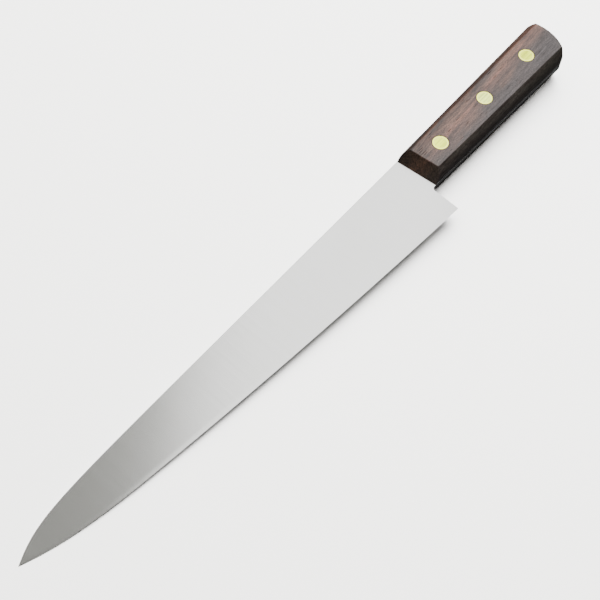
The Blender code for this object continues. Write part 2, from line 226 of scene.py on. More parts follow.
@dataclass
class HandleLines:
    """The outline that the tang and the scales share, in plan."""

    datum: Datum
    front_setback: float = 0.0169
    spine_front: float = 0.0113
    spine_rear: float = 0.0124
    belly_front: float = 0.0105
    belly_rear: float = 0.0137
    butt_radius: float = 0.0242
    butt_apex: float = 0.0040
    corner_radius: float = 0.0025
    ease: float = 0.0005
    ease_steps: int = 6
    butt_steps: int = 36
    corner_steps: int = 12
    overshoot: float = 0.0040

    @property
    def front_x(self) -> float:
        """Where the scales' front feet meet the steel."""
        return -self.front_setback

    @property
    def length(self) -> float:
        """The handle's length."""
        return self.datum.butt_x - self.front_x

    @property
    def butt_centre(self) -> Vector:
        """The centre of the butt's arc."""
        return Vector((self.datum.butt_x - self.butt_radius, self.butt_apex))

    def share(self, x: float) -> float:
        """How far along the handle a place is, from 0 at the front to 1 at the butt."""
        return (x - self.front_x) / self.length

    def spine(self, x: float) -> float:
        """The spine side's place at x."""
        return lerp(self.spine_front, self.spine_rear, self.share(x))

    def belly(self, x: float) -> float:
        """The belly side's place at x."""
        return -lerp(self.belly_front, self.belly_rear, self.share(x))

    def corner(self, side: int) -> tuple[Vector, float, float]:
        """Find the arc that rounds the butt into one side of the handle.

        Args:
            side: 1 at the spine, -1 at the belly.

        Returns:
            The arc's centre, its angle at the butt and its angle at the side.
        """
        line = self.spine if side > 0 else self.belly
        run = Vector((self.length, line(self.datum.butt_x) - line(self.front_x))).normalized()
        inward = Vector((run.y, -run.x)) * side
        base = Vector((self.front_x, line(self.front_x))) + inward * self.corner_radius
        # Where the side, drawn in by the corner's radius, meets the circle inside the butt's arc
        gap = base - self.butt_centre
        reach = self.butt_radius - self.corner_radius
        along = gap.dot(run)
        centre = base + run * (-along + math.sqrt(along * along - gap.dot(gap) + reach * reach))
        outward = -inward
        to_butt = (centre - self.butt_centre).normalized()
        return centre, math.atan2(to_butt.y, to_butt.x), math.atan2(outward.y, outward.x)

    def butt_wall(self, inset: float) -> list[Vector]:
        """Draw the butt's outline in plan and the block behind it.

        Args:
            inset: How far the outline is drawn in.

        Returns:
            The points of a closed outline.
        """
        spine_centre, spine_from, spine_to = self.corner(1)
        belly_centre, belly_from, belly_to = self.corner(-1)
        radius = self.corner_radius - inset
        butt_radius = self.butt_radius - inset
        wall = arc(belly_centre, radius, belly_to, belly_from, self.corner_steps)
        wall += arc(self.butt_centre, butt_radius, belly_from, spine_from, self.butt_steps)[1:]
        wall += arc(spine_centre, radius, spine_from, spine_to, self.corner_steps)[1:]
        low, high = wall[0].y - self.overshoot, wall[-1].y + self.overshoot
        back = self.datum.butt_x + 2 * self.overshoot
        wall += [Vector((wall[-1].x, high)), Vector((back, high))]
        return wall + [Vector((back, low)), Vector((wall[0].x, low))]

    def butt_cutter(self) -> Object:
        """Make the block that rounds the butt off and eases it where it meets the flats.

        Returns:
            The block, which is taken away from the steel and the scales.
        """
        half = self.datum.half_handle
        layers = [(half + self.overshoot, self.ease)]
        for share in shares(self.ease_steps):
            angle = share * math.pi / 2
            height = half - self.ease * (1 - math.cos(angle))
            layers.append((height, self.ease * (1 - math.sin(angle))))
        layers += [(-height, inset) for height, inset in reversed(layers)]
        rings = [[point.to_3d() + Vector((0, 0, height)) for point in self.butt_wall(inset)]
                 for height, inset in layers]
        bm = bmesh.new()
        loft(bm, rings, capped=True)
        bmesh.ops.recalc_face_normals(bm, faces=bm.faces)
        return make_object("butt_cutter", bm)


# Shader graphs


class Graph:
    """A node tree, with short ways to add nodes and join them.

    Where a method takes an object, it is an output socket, which is linked, or a plain value.
    """

    def __init__(self, tree: bpy.types.NodeTree) -> None:
        """Start from an empty tree, a material's, a world's or a group's."""
        self.tree = tree
        tree.nodes.clear()

    def add(self, kind: str, inputs: dict | None = None, **settings: object) -> bpy.types.Node:
        """Add a node.

        Args:
            kind: The node's type.
            inputs: What goes into its sockets, by name or number.
            **settings: The node's own properties.

        Returns:
            The node.
        """
        node = self.tree.nodes.new(kind)
        for name, value in settings.items():
            setattr(node, name, value)
        for key, value in (inputs or {}).items():
            if isinstance(value, Socket):
                self.tree.links.new(value, node.inputs[key])
            else:
                node.inputs[key].default_value = value
        return node

    def math(self, operation: str, *values: object) -> Socket:
        """Do arithmetic."""
        return self.add("ShaderNodeMath", dict(enumerate(values)), operation=operation).outputs[0]

    def product(self, *values: object) -> Socket:
        """Multiply numbers, from the left."""
        return reduce(lambda first, second: self.math("MULTIPLY", first, second), values)

    def parts(self, vector: object) -> list[Socket]:
        """Split a vector into X, Y and Z."""
        return list(self.add("ShaderNodeSeparateXYZ", {0: vector}).outputs)

    def vector(self, *parts: object) -> Socket:
        """Join X, Y and Z."""
        return self.add("ShaderNodeCombineXYZ", dict(enumerate(parts))).outputs[0]

    def attribute(self, name: str) -> Socket:
        """Read a number that the piece's mesh carries."""
        return self.add("ShaderNodeAttribute", attribute_name=name).outputs["Fac"]

    def turned(self, vector: object, angle: object) -> Socket:
        """Turn coordinates about Z."""
        inputs = {"Vector": vector, "Rotation": self.vector(0.0, 0.0, angle)}
        return self.add("ShaderNodeMapping", inputs).outputs[0]

    def stretched(self, vector: object, scale: object) -> Socket:
        """Multiply coordinates by a pattern's frequencies along X, Y and Z, or by one for all."""
        return self.add("ShaderNodeVectorMath", {0: vector, 1: scale}, operation="MULTIPLY").outputs[0]

    def noise(self, vector: object, detail: float, roughness: float) -> Socket:
        """Read a noise from 0 to 1 at coordinates that are already scaled."""
        inputs = {"Vector": vector, "Scale": 1.0, "Detail": detail, "Roughness": roughness}
        return self.add("ShaderNodeTexNoise", inputs).outputs[0]

    def ranged(self, value: object, low: float, high: float, out_low: float = 0.0,
               out_high: float = 1.0) -> Socket:
        """Map low to out_low and high to out_high, eased at both ends and held outside them."""
        inputs = {0: value, 1: low, 2: high, 3: out_low, 4: out_high}
        return self.add("ShaderNodeMapRange", inputs, interpolation_type="SMOOTHSTEP").outputs[0]

    def blend(self, share: object, first: object, second: object, mode: str = "MIX") -> Socket:
        """Mix two colours.

        Args:
            share: How much of the second there is.
            first: A colour's socket, or a colour.
            second: The other.
            mode: How they mix.

        Returns:
            The mixed colour's socket.
        """
        colors = [(*c, 1.0) if isinstance(c, tuple) else c for c in (first, second)]
        inputs = {0: share, 6: colors[0], 7: colors[1]}
        return self.add("ShaderNodeMix", inputs, data_type="RGBA", blend_type=mode).outputs[2]

    def toned(self, color: object, value: object) -> Socket:
        """Multiply a colour by a number."""
        grey = self.add("ShaderNodeCombineColor", {0: value, 1: value, 2: value}).outputs[0]
        return self.blend(1.0, color, grey, "MULTIPLY")

    def ramp(self, value: object, stops: tuple[tuple[float, Color], ...]) -> Socket:
        """Read a colour along a scale.

        Args:
            value: The place on the scale.
            stops: Places on the scale, in rising order, and the colour at each.

        Returns:
            The colour's socket.
        """
        low, high = stops[0][0], stops[-1][0]
        share = self.add("ShaderNodeMapRange", {0: value, 1: low, 2: high}).outputs[0]
        node = self.add("ShaderNodeValToRGB", {0: share})
        elements = node.color_ramp.elements
        while len(elements) < len(stops):
            elements.new(1.0)
        for element, (place, color) in zip(elements, stops):
            element.position = (place - low) / (high - low)
            element.color = (*color, 1.0)
        return node.outputs[0]

    def bump(self, height: object, depth: float) -> Socket:
        """Raise the surface by a height, which is depth deep from 0 to 1."""
        inputs = {"Strength": 1.0, "Distance": depth, "Height": height}
        return self.add("ShaderNodeBump", inputs).outputs[0]


class Effect:
    """A shader node group that is built once and placed in each material that uses it."""

    name: ClassVar[str] = ""
    inputs: ClassVar[dict[str, float]] = {}
    outputs: ClassVar[tuple[str, ...]] = ()

    def build(self, graph: Graph, given: Sockets) -> Sockets:
        """Add the effect's nodes.

        Args:
            graph: The group's graph.
            given: The sockets of its inputs.

        Returns:
            What goes to each output.
        """
        raise NotImplementedError

    def tree(self) -> bpy.types.NodeTree:
        """Find the group, or build it at its first use.

        Returns:
            The group's node tree.
        """
        found = bpy.data.node_groups.get(self.name)
        if found:
            return found
        tree = bpy.data.node_groups.new(self.name, "ShaderNodeTree")
        tree.interface.new_socket("Vector", in_out="INPUT", socket_type="NodeSocketVector")
        for name, value in self.inputs.items():
            socket = tree.interface.new_socket(name, in_out="INPUT", socket_type="NodeSocketFloat")
            socket.default_value = value
        for name in self.outputs:
            tree.interface.new_socket(name, in_out="OUTPUT", socket_type="NodeSocketFloat")
        graph = Graph(tree)
        source = graph.add("NodeGroupInput")
        made = self.build(graph, {socket.name: socket for socket in source.outputs if socket.name})
        graph.add("NodeGroupOutput", made)
        return tree

    def use(self, graph: Graph, vector: object, **values: object) -> Sockets:
        """Place the effect in a material.

        Args:
            graph: The material's graph.
            vector: The coordinates that it reads.
            **values: Its inputs, in small letters.

        Returns:
            Its outputs, by name.
        """
        inputs = {"Vector": vector} | {name.capitalize(): value for name, value in values.items()}
        node = graph.add("ShaderNodeGroup", inputs, node_tree=self.tree())
        return {socket.name: socket for socket in node.outputs}


@dataclass(frozen=True)
class Noise:
    """A noise's frequencies along X, Y and Z, its detail and its roughness."""

    scale: tuple[float, float, float]
    detail: float
    roughness: float

    def read(self, graph: Graph, vector: Socket) -> Socket:
        """Read the noise at plain coordinates, in metres."""
        return graph.noise(graph.stretched(vector, self.scale), self.detail, self.roughness)


class GrindLines(Effect):
    """Fine parallel lines left by a belt, across X, with broader passes among them."""

    name = "grind lines"
    inputs = {"Spacing": 0.0002, "Length": 0.02}
    outputs = ("Lines", "Passes")
    # How much coarser than the spacing each is, and its detail
    kinds: ClassVar[dict[str, tuple[float, float]]] = {"Lines": (1.0, 3.0), "Passes": (9.0, 1.0)}
    roughness: ClassVar[float] = 0.6

    def build(self, graph: Graph, given: Sockets) -> Sockets:
        """Stretch noise across X.

        Args:
            graph: The group's graph.
            given: The sockets of its inputs.

        Returns:
            What goes to each output.
        """
        across = graph.math("DIVIDE", 1.0, given["Spacing"])
        along = graph.math("DIVIDE", 1.0, given["Length"])
        found = {}
        for name, (coarser, detail) in self.kinds.items():
            wide = graph.math("DIVIDE", across, coarser)
            long = graph.math("DIVIDE", along, math.sqrt(coarser))
            vector = graph.stretched(given["Vector"], graph.vector(wide, long, long))
            found[name] = graph.noise(vector, detail, self.roughness)
        return found


class Cloudiness(Effect):
    """Broad, soft unevenness."""

    name = "cloudiness"
    inputs = {"Size": 0.03}
    outputs = ("Clouds",)
    detail: ClassVar[float] = 3.0
    roughness: ClassVar[float] = 0.5

    def build(self, graph: Graph, given: Sockets) -> Sockets:
        """Read one soft noise."""
        vector = graph.stretched(given["Vector"], graph.math("DIVIDE", 1.0, given["Size"]))
        return {"Clouds": graph.noise(vector, self.detail, self.roughness)}


class WoodFigure(Effect):
    """Growth layers round a far-off pith, a little askew, with streaks and fibres along X."""

    name = "wood figure"
    inputs = {"Slant": 0.0, "Wander": 0.004}
    outputs = ("Depth", "Layers", "Patches", "Streaks", "Fibres", "Mottle")
    pith: ClassVar[Point] = (-0.0600, -0.0380)
    peak: ClassVar[Point] = (-0.0025, 0.0080)
    layer_width: ClassVar[float] = 0.0016
    layer_detail: ClassVar[float] = 3.0
    layer_roughness: ClassVar[float] = 0.6
    wander: ClassVar[Noise] = Noise((14.0, 90.0, 90.0), 3.0, 0.55)
    patches: ClassVar[Noise] = Noise((45.0, 160.0, 160.0), 2.0, 0.5)
    along: ClassVar[dict[str, Noise]] = {
        "Streaks": Noise((70.0, 650.0, 650.0), 4.0, 0.65),
        "Fibres": Noise((330.0, 2200.0, 2200.0), 3.0, 0.65),
        "Mottle": Noise((1700.0, 1500.0, 1500.0), 2.0, 0.6),
    }

    def build(self, graph: Graph, given: Sockets) -> Sockets:
        """Measure how far the wood lies from the pith, and read bands by that depth.

        Args:
            graph: The group's graph.
            given: The sockets of its inputs.

        Returns:
            What goes to each output. The depth is 0 at the layer of the peak.
        """
        turned = graph.turned(given["Vector"], graph.product(given["Slant"], -1.0))
        wander = graph.math("SUBTRACT", self.wander.read(graph, turned), 0.5)
        squares = []
        for part, middle in zip(graph.parts(turned)[1:], self.pith):
            away = graph.math("SUBTRACT", part, middle)
            squares.append(graph.product(away, away))
        far = graph.math("SQRT", graph.math("ADD", *squares))
        level = graph.math("SUBTRACT", far, math.dist(self.peak, self.pith))
        depth = graph.math("ADD", level, graph.product(wander, given["Wander"]))
        band = graph.math("DIVIDE", depth, self.layer_width)
        inputs = {"W": band, "Scale": 1.0, "Detail": self.layer_detail, "Roughness": self.layer_roughness}
        layers = graph.add("ShaderNodeTexNoise", inputs, noise_dimensions="1D").outputs[0]
        found = {"Depth": depth, "Layers": layers, "Patches": self.patches.read(graph, turned)}
        return found | {name: noise.read(graph, given["Vector"]) for name, noise in self.along.items()}


class WoodPores(Effect):
    """Open pores: long dark dashes along X, and dots on end grain."""

    name = "wood pores"
    inputs = {"Slant": 0.0, "Width": 0.0006, "Length": 0.0095, "Open": 0.30, "Share": 0.75,
              "Clusters": 0.02}
    outputs = ("Pores",)
    crowding: ClassVar[Band] = (0.35, 0.60, 0.60, 1.0)
    opening: ClassVar[Span] = (0.0, 0.4)
    softness: ClassVar[float] = 0.08

    def build(self, graph: Graph, given: Sockets) -> Sockets:
        """Cut a stretched cell pattern close to its centres.

        Args:
            graph: The group's graph.
            given: The sockets of its inputs.

        Returns:
            What goes to each output.
        """
        turned = graph.turned(given["Vector"], graph.product(given["Slant"], -1.0))
        along = graph.math("DIVIDE", 1.0, given["Length"])
        across = graph.math("DIVIDE", 1.0, given["Width"])
        vector = graph.stretched(turned, graph.vector(along, across, across))
        cells = graph.add("ShaderNodeTexVoronoi", {"Vector": vector, "Scale": 1.0}).outputs
        closed = graph.math("SUBTRACT", 1.0, given["Share"])
        spare = graph.math("SUBTRACT", graph.parts(cells["Color"])[0], closed)
        crowd = Cloudiness().use(graph, given["Vector"], size=given["Clusters"])["Clouds"]
        crowded = graph.ranged(crowd, *self.crowding)
        reach = graph.product(graph.ranged(spare, *self.opening), crowded, given["Open"])
        inside = graph.math("SUBTRACT", reach, cells["Distance"])
        return {"Pores": graph.ranged(inside, 0.0, self.softness)}


# Finishes


@dataclass(frozen=True)
class Finish:
    """A surface: its plain numbers, with the colour and pattern added by each kind of finish."""

    name: str
    roughness: float
    metallic: float = 0.0
    specular: float = 0.5

    def pattern(self, graph: Graph, vector: Socket) -> dict[str, object]:
        """Add the pattern's nodes.

        Args:
            graph: The material's graph.
            vector: The piece's object coordinates.

        Returns:
            What goes into the shader's sockets, by name, with the Base Color among them.
        """
        raise NotImplementedError

    def varied(self, graph: Graph, value: Socket, span: Span, play: float) -> Socket:
        """Let the roughness follow a value, with some play down and up."""
        return graph.ranged(value, *span, self.roughness - play, self.roughness + play)

    def material(self) -> bpy.types.Material:
        """Find the material, or build it at its first use.

        Returns:
            The material.
        """
        found = bpy.data.materials.get(self.name)
        if found:
            return found
        material = bpy.data.materials.new(self.name)
        material.use_nodes = True
        graph = Graph(material.node_tree)
        inputs = {
            "Roughness": self.roughness,
            "Metallic": self.metallic,
            "Specular IOR Level": self.specular,
        }
        inputs |= self.pattern(graph, graph.add("ShaderNodeTexCoord").outputs["Object"])
        shader = graph.add("ShaderNodeBsdfPrincipled", inputs)
        graph.add("ShaderNodeOutputMaterial", {"Surface": shader.outputs[0]})
        return material


@dataclass(frozen=True)
class GroundSteel(Finish):
    """Steel with fine lines from grinding, all across the blade."""

    color: Color = (0.572, 0.572, 0.560)
    spacing: float = 0.00022
    line_length: float = 0.030
    cloud_size: float = 0.035
    unevenness: float = 0.03
    tones: Span = (0.3, 0.7)
    passes: Span = (0.25, 0.75)
    play: float = 0.01
    depth: float = 0.000001

    def pattern(self, graph: Graph, vector: Socket) -> dict[str, object]:
        """Let the lines touch the colour, the roughness and the normal.

        Args:
            graph: The material's graph.
            vector: The piece's object coordinates.

        Returns:
            What goes into the shader's sockets, by name.
        """
        lines = GrindLines().use(graph, vector, spacing=self.spacing, length=self.line_length)
        clouds = Cloudiness().use(graph, vector, size=self.cloud_size)["Clouds"]
        halves = [graph.product(part, 0.5) for part in (lines["Lines"], clouds)]
        tone = graph.ranged(graph.math("ADD", *halves), *self.tones)
        dark, light = (tuple(channel * share for channel in self.color)
                       for share in (1 - self.unevenness, 1 + self.unevenness))
        return {
            "Base Color": graph.blend(tone, dark, light),
            "Roughness": self.varied(graph, lines["Passes"], self.passes, self.play),
            "Normal": graph.bump(lines["Lines"], self.depth),
        }


@dataclass(frozen=True)
class Rosewood(Finish):
    """Oiled rosewood, bookmatched.

    From the belly side to the spine side, its layers turn from near black over greyish brown to a
    pinkish red, and back to dark brown.
    """

    layers: tuple[tuple[float, Color], ...] = (
        (-0.0150, (0.028, 0.024, 0.020)),
        (-0.0130, (0.042, 0.037, 0.031)),
        (-0.0118, (0.120, 0.094, 0.094)),
        (-0.0075, (0.140, 0.102, 0.104)),
        (-0.0040, (0.152, 0.095, 0.085)),
        (-0.0022, (0.265, 0.130, 0.096)),
        (-0.0008, (0.480, 0.203, 0.136)),
        (0.0008, (0.525, 0.215, 0.140)),
        (0.0025, (0.350, 0.165, 0.112)),
        (0.0045, (0.170, 0.094, 0.072)),
        (0.0085, (0.098, 0.064, 0.052)),
    )
    streak: Color = (0.060, 0.036, 0.032)
    warm: Color = (0.520, 0.220, 0.130)
    pore: Color = (0.012, 0.007, 0.006)
    washed: Color = (0.122, 0.094, 0.085)
    end_color: Color = (0.104, 0.078, 0.052)
    # Painted shade on faces turned to the belly side: the facets, and darker still the steep sides
    belly_facet: Color = (0.160, 0.158, 0.126)
    belly_side_shade: Color = (0.066, 0.060, 0.048)
    # Painted shading: a colour of its own for faces turned to the spine side
    spine_facet: Color = (0.345, 0.192, 0.148)
    slant: float = math.radians(5.3)
    pore_slant: float = math.radians(-0.8)
    book_plane: float = 0.0080

    # By the depth of the layer
    heart: Band = (-0.0060, -0.0015, 0.10, 1.0)
    # How much of the painted shading the spine-side facets take, by the depth of the layer
    spine_shading_share: Band = (0.0060, 0.0085, 0.45, 0.0)
    outer_oil: Band = (0.0022, 0.0055, 1.0, 0.66)

    # By the place along X
    washed_share: Band = (0.0700, 0.0860, 0.60, 0.0)
    pore_share: Band = (0.1300, 0.1560, 1.0, 0.40)

    # By the way the face is turned: painted shade on the belly side, painted shading on the spine side,
    # and the end grain's own colour
    belly_shade_share: Band = (-0.30, -0.60, 0.0, 0.60)
    belly_shade_steep: Span = (-0.76, -0.92)
    spine_shading_turn: Span = (0.30, 0.60)
    end_turn: Span = (0.74, 0.80)
    end_share: float = 0.72

    # By the noises
    warm_patches: Band = (0.45, 0.65, 0.0, 0.55)
    dark_patches: Band = (0.30, 0.46, 0.35, 0.0)
    dark_layers: Band = (0.35, 0.60, 0.45, 0.0)
    streaks: Span = (0.42, 0.68)
    streak_share: float = 0.65
    fibre_tones: Band = (0.25, 0.75, 0.68, 1.32)
    mottle_tones: Band = (0.25, 0.75, 0.52, 1.48)

    fibre_span: Span = (0.2, 0.8)
    play: float = 0.05
    pore_roughness: float = 0.25
    fibre_height: float = 0.25
    depth: float = 0.00003
    oil_ior: float = 1.65
    oil_tones: Band = (0.25, 0.75, 0.70, 1.0)
    oil_full: float = 1.18
    oil_lost: float = 0.25

    def bookmatch(self, graph: Graph, vector: Socket) -> Socket:
        """Mirror the pattern on the middle of the steel, as on two leaves of one board.

        Args:
            graph: The material's graph.
            vector: The piece's object coordinates.

        Returns:
            The coordinates in the leaf.
        """
        along, across, height = graph.parts(vector)
        off_middle = graph.math("ABSOLUTE", graph.math("SUBTRACT", height, self.book_plane))
        return graph.vector(along, across, off_middle)

    def grown(self, graph: Graph, figure: Sockets) -> Socket:
        """Colour the layers, with warm and dark patches among them.

        Args:
            graph: The material's graph.
            figure: The wood figure's outputs.

        Returns:
            The colour's socket.
        """
        body = graph.ramp(figure["Depth"], self.layers)
        heart = graph.ranged(figure["Depth"], *self.heart)
        warm = graph.product(graph.ranged(figure["Patches"], *self.warm_patches), heart)
        body = graph.blend(warm, body, self.warm)
        return graph.blend(graph.ranged(figure["Patches"], *self.dark_patches), body, self.streak)

    def cut(self, graph: Graph, body: Socket, depth: Socket, along: Socket) -> Socket:
        """Change the colour by how each face is turned: painted shade on the belly-side facets and sides,
        painted shading on the spine-side facets, and the end grain's own colour on the ends.

        Args:
            graph: The material's graph.
            body: The colour so far.
            depth: The depth of the layer.
            along: The place along X, because the front of the flats is washed out.

        Returns:
            The colour's socket.
        """
        turn = graph.attribute("turn")
        # Painted shade: faces turned to the belly side darken, the steep ones most
        belly = graph.blend(graph.ranged(turn, *self.belly_shade_steep), self.belly_facet, self.belly_side_shade)
        body = graph.blend(graph.ranged(turn, *self.belly_shade_share), body, belly)
        # Painted shading: faces turned to the spine side take a colour of their own, except in the
        # outermost layers
        spine_shading_depth = graph.ranged(depth, *self.spine_shading_share)
        spine = graph.product(graph.ranged(turn, *self.spine_shading_turn), spine_shading_depth)
        body = graph.blend(spine, body, self.spine_facet)
        end = graph.ranged(graph.attribute("end_grain"), *self.end_turn)
        body = graph.blend(graph.product(end, self.end_share), body, self.end_color)
        off_end = graph.math("SUBTRACT", 1.0, end)
        washed = graph.product(graph.ranged(along, *self.washed_share), off_end)
        return graph.blend(washed, body, self.washed)

    def streaked(self, graph: Graph, body: Socket, figure: Sockets, streaks: Socket) -> Socket:
        """Lay the dark layers, the streaks and the fibres over the colour.

        Args:
            graph: The material's graph.
            body: The colour so far.
            figure: The wood figure's outputs.
            streaks: How much of a streak there is.

        Returns:
            The colour's socket.
        """
        body = graph.blend(graph.ranged(figure["Layers"], *self.dark_layers), body, self.streak)
        body = graph.blend(graph.product(streaks, self.streak_share), body, self.streak)
        fibre = graph.ranged(figure["Fibres"], *self.fibre_tones)
        return graph.toned(body, graph.product(fibre, graph.ranged(figure["Mottle"], *self.mottle_tones)))

    def oil(self, graph: Graph, figure: Sockets, streaks: Socket, pores: Socket) -> Socket:
        """Thin the oil on the coarse streaks and outer layers, and leave it out of the pores.

        Args:
            graph: The material's graph.
            figure: The wood figure's outputs.
            streaks: How much of a streak there is.
            pores: How much of a pore there is.

        Returns:
            How much oil there is.
        """
        fibre = graph.ranged(figure["Fibres"], *self.oil_tones)
        mottle = graph.ranged(figure["Mottle"], *self.oil_tones)
        kept = graph.math("SUBTRACT", self.oil_full, graph.product(streaks, self.oil_lost))
        outer = graph.ranged(figure["Depth"], *self.outer_oil)
        return graph.product(fibre, mottle, kept, outer, graph.math("SUBTRACT", 1.0, pores))

    def pattern(self, graph: Graph, vector: Socket) -> dict[str, object]:
        """Colour the wood as it grew, then as it was cut, with painted shade and shading by how each face
        is turned, and lay the pores and the oil over it.

        Args:
            graph: The material's graph.
            vector: The piece's object coordinates.

        Returns:
            What goes into the shader's sockets, by name.
        """
        leaf = self.bookmatch(graph, vector)
        along = graph.parts(vector)[0]
        figure = WoodFigure().use(graph, leaf, slant=self.slant)
        pores = WoodPores().use(graph, leaf, slant=self.pore_slant)["Pores"]
        pores = graph.product(pores, graph.ranged(along, *self.pore_share))
        streaks = graph.ranged(figure["Streaks"], *self.streaks)
        body = self.cut(graph, self.grown(graph, figure), figure["Depth"], along)
        body = self.streaked(graph, body, figure, streaks)
        rough = self.varied(graph, figure["Fibres"], self.fibre_span, self.play)
        height = graph.math("SUBTRACT", graph.product(figure["Fibres"], self.fibre_height), pores)
        return {
            "Base Color": graph.blend(pores, body, self.pore),
            "Roughness": graph.math("ADD", rough, graph.product(pores, self.pore_roughness)),
            "Normal": graph.bump(height, self.depth),
            "Coat Weight": self.oil(graph, figure, streaks, pores),
            "Coat Roughness": self.roughness,
            "Coat IOR": self.oil_ior,
        }


@dataclass(frozen=True)
class GroundBrass(Finish):
    """Brass that was ground flush with the wood, with a painted highlight towards its rim and a painted
    shade, with some tarnish, at the rim itself.

    Each rivet has a tone of its own, from the plain colour to the pale one.
    """

    color: Color = (0.73, 0.82, 0.07)
    pale: Color = (0.73, 0.83, 0.21)
    # Painted highlight: a brighter ring towards the rim
    rim_highlight: Color = (1.00, 1.00, 0.22)
    # Painted shade of the gap round the head, with some tarnish
    rim_shade_and_tarnish: Color = (0.20, 0.17, 0.05)
    edge_tint: Color = (1.00, 0.65, 0.70)
    rim_highlight_share: Band = (0.70, 0.84, 0.0, 0.90)
    rim_shade_share: Band = (0.935, 0.965, 0.0, 0.85)
    line_way: float = math.radians(90.0)
    line_length: float = 0.006
    spacing: float = 0.00012
    line_tones: Band = (0.3, 0.7, 0.72, 1.26)
    passes: Span = (0.25, 0.75)
    play: float = 0.04
    depth: float = 0.000003

    def pattern(self, graph: Graph, vector: Socket) -> dict[str, object]:
        """Turn the grinding lines along the handle, and tell the rim from the face.

        Args:
            graph: The material's graph.
            vector: The piece's object coordinates.

        Returns:
            What goes into the shader's sockets, by name.
        """
        turned = graph.turned(vector, self.line_way)
        lines = GrindLines().use(graph, turned, spacing=self.spacing, length=self.line_length)
        reach = graph.attribute("reach")
        body = graph.blend(graph.attribute("tone"), self.color, self.pale)
        body = graph.toned(body, graph.ranged(lines["Passes"], *self.line_tones))
        # Painted highlight towards the rim
        body = graph.blend(graph.ranged(reach, *self.rim_highlight_share), body, self.rim_highlight)
        return {
            # Painted shade, with some tarnish, at the rim
            "Base Color": graph.blend(graph.ranged(reach, *self.rim_shade_share), body, self.rim_shade_and_tarnish),
            "Roughness": self.varied(graph, lines["Passes"], self.passes, self.play),
            "Normal": graph.bump(lines["Lines"], self.depth),
            "Specular Tint": (*self.edge_tint, 1.0),
        }


# The knife's sub-assemblies


@dataclass
class KnifePart:
    """A sub-assembly of the knife, whose pieces share one finish."""

    datum: Datum
    metal: bpy.types.Collection
    finish: ClassVar[Finish]
    slot: ClassVar[str]

    def dress(self, piece: Object, node: str) -> Object:
        """Give a piece its place in the frame and its finish, and let it stand for its node.

        Args:
            piece: The piece, about the knife's own axes.
            node: The node that it replaces.

        Returns:
            The piece, which joins the metal if it is made of it.
        """
        piece.data.transform(Matrix.Translation(self.datum.origin))
        piece.data.materials.clear()
        piece.data.materials.append(self.finish.material())
        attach(piece, "root")
        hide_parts(node)
        if self.finish.metallic:
            self.metal.objects.link(piece)
        return piece


